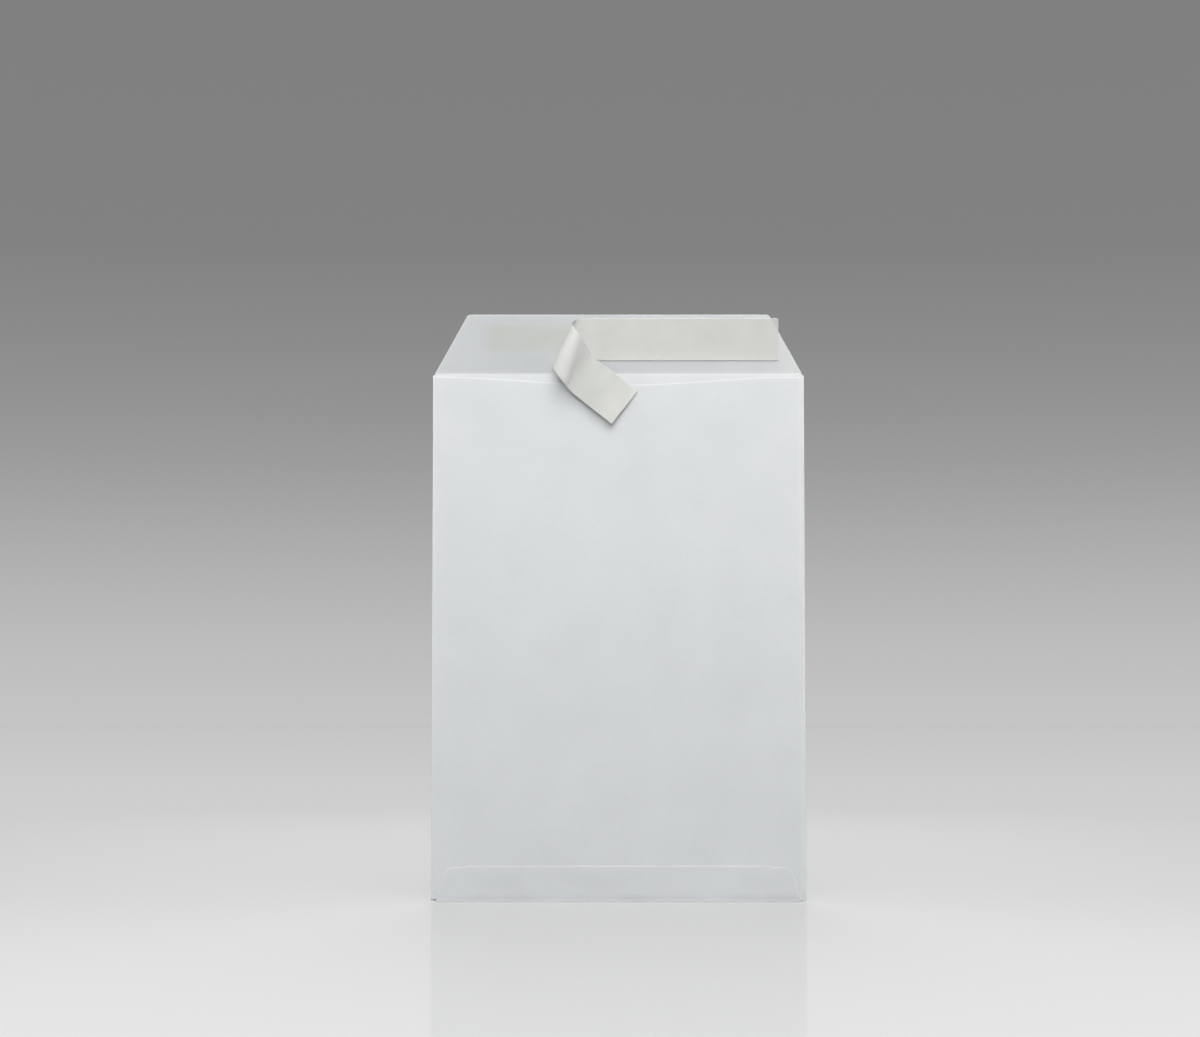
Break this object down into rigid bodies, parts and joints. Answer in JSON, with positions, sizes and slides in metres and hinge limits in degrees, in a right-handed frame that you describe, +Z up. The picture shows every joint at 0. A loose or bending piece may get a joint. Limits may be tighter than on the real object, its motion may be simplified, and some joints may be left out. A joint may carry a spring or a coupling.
{
  "type": "peel-and-seal pocket envelope",
  "caption": "White paper pocket envelope standing on its bottom fold, seal flap open, with the release liner half peeled off its adhesive strip.",
  "frame": {"origin": "middle of the flat underside of the bottom fold", "axes": "+Z up the height of the pocket; -Y out of the back, where the flap closes; +Y out of the plain front; +X to the right as seen from the back"},
  "size_m": [0.229, 0.0233, 0.3594],
  "materials": {
    "envelope_paper": "smooth white wove",
    "liner_paper": "glazed silicone coat",
    "seal_adhesive": "clear tacky film",
    "seam_glue": "dried film"
  },
  "bodies": {
    "pocket": {"front_panel": "envelope_paper", "left_fold": "envelope_paper", "back_panel": "envelope_paper", "right_fold": "envelope_paper", "side_flap": "envelope_paper", "side_seam_glue": "seam_glue", "bottom_fold": "envelope_paper", "bottom_flap": "envelope_paper", "bottom_seam_glue": "seam_glue"},
    "closing_flap": {"seal_flap": "envelope_paper", "seal_adhesive": "seal_adhesive", "release_liner": "liner_paper"},
    "tail_length_1": {"liner_tail_1": "liner_paper"},
    "tail_length_2": {"liner_tail_2": "liner_paper"},
    "tail_length_3": {"liner_tail_3": "liner_paper"},
    "tail_length_4": {"liner_tail_4": "liner_paper"},
    "tail_length_5": {"liner_tail_5": "liner_paper"},
    "tail_length_6": {"liner_tail_6": "liner_paper"},
    "tail_length_7": {"liner_tail_7": "liner_paper"}
  },
  "joints": [
    {"name": "seal_flap_hinge", "type": "hinge", "parent": "pocket", "child": "closing_flap", "pos_m": [0, -0.00016, 0.324], "axis": [1, 0, 0], "range_deg": [0, 161], "deforming": ["liner_tail_3", "liner_tail_4", "liner_tail_5", "liner_tail_6", "liner_tail_7"]},
    {"name": "liner_tail_curl_1", "type": "hinge", "parent": "closing_flap", "child": "tail_length_1", "pos_m": [-0.0183, -0.00685, 0.3446], "axis": [0, -0.3256, 0.9455], "range_deg": [-14, 0]},
    {"name": "liner_tail_curl_2", "type": "hinge", "parent": "tail_length_1", "child": "tail_length_2", "pos_m": [-0.0313, -0.00991, 0.34354], "axis": [0.4254, -0.1923, 0.8844], "range_deg": [-57.75, 0]},
    {"name": "liner_tail_curl_3", "type": "hinge", "parent": "tail_length_2", "child": "tail_length_3", "pos_m": [-0.03437, -0.01561, 0.34016], "axis": [0.4253, -0.1923, 0.8844], "range_deg": [-57.75, 0]},
    {"name": "liner_tail_curl_4", "type": "hinge", "parent": "tail_length_3", "child": "tail_length_4", "pos_m": [-0.03184, -0.01944, 0.33449], "axis": [0.4253, -0.1923, 0.8844], "range_deg": [-57.75, 0]},
    {"name": "liner_tail_curl_5", "type": "hinge", "parent": "tail_length_4", "child": "tail_length_5", "pos_m": [-0.02733, -0.01726, 0.32918], "axis": [0.4254, -0.1923, 0.8844], "range_deg": [-57.75, 0]},
    {"name": "liner_tail_curl_6", "type": "hinge", "parent": "tail_length_5", "child": "tail_length_6", "pos_m": [-0.0261, -0.00905, 0.32596], "axis": [0.5231, 0.1381, 0.841], "range_deg": [0, 34]},
    {"name": "liner_tail_curl_7", "type": "hinge", "parent": "tail_length_6", "child": "tail_length_7", "pos_m": [-0.02237, -0.00515, 0.32217], "axis": [0.5231, 0.1381, 0.841], "range_deg": [0, 34]}
  ],
  "couplings": [
    {"joint": "liner_tail_curl_1", "follows": "seal_flap_hinge", "ratio": -0.086956},
    {"joint": "liner_tail_curl_2", "follows": "seal_flap_hinge", "ratio": -0.35869},
    {"joint": "liner_tail_curl_3", "follows": "seal_flap_hinge", "ratio": -0.35869},
    {"joint": "liner_tail_curl_4", "follows": "seal_flap_hinge", "ratio": -0.35869},
    {"joint": "liner_tail_curl_5", "follows": "seal_flap_hinge", "ratio": -0.35869},
    {"joint": "liner_tail_curl_6", "follows": "seal_flap_hinge", "ratio": 0.21118},
    {"joint": "liner_tail_curl_7", "follows": "seal_flap_hinge", "ratio": 0.21118}
  ]
}
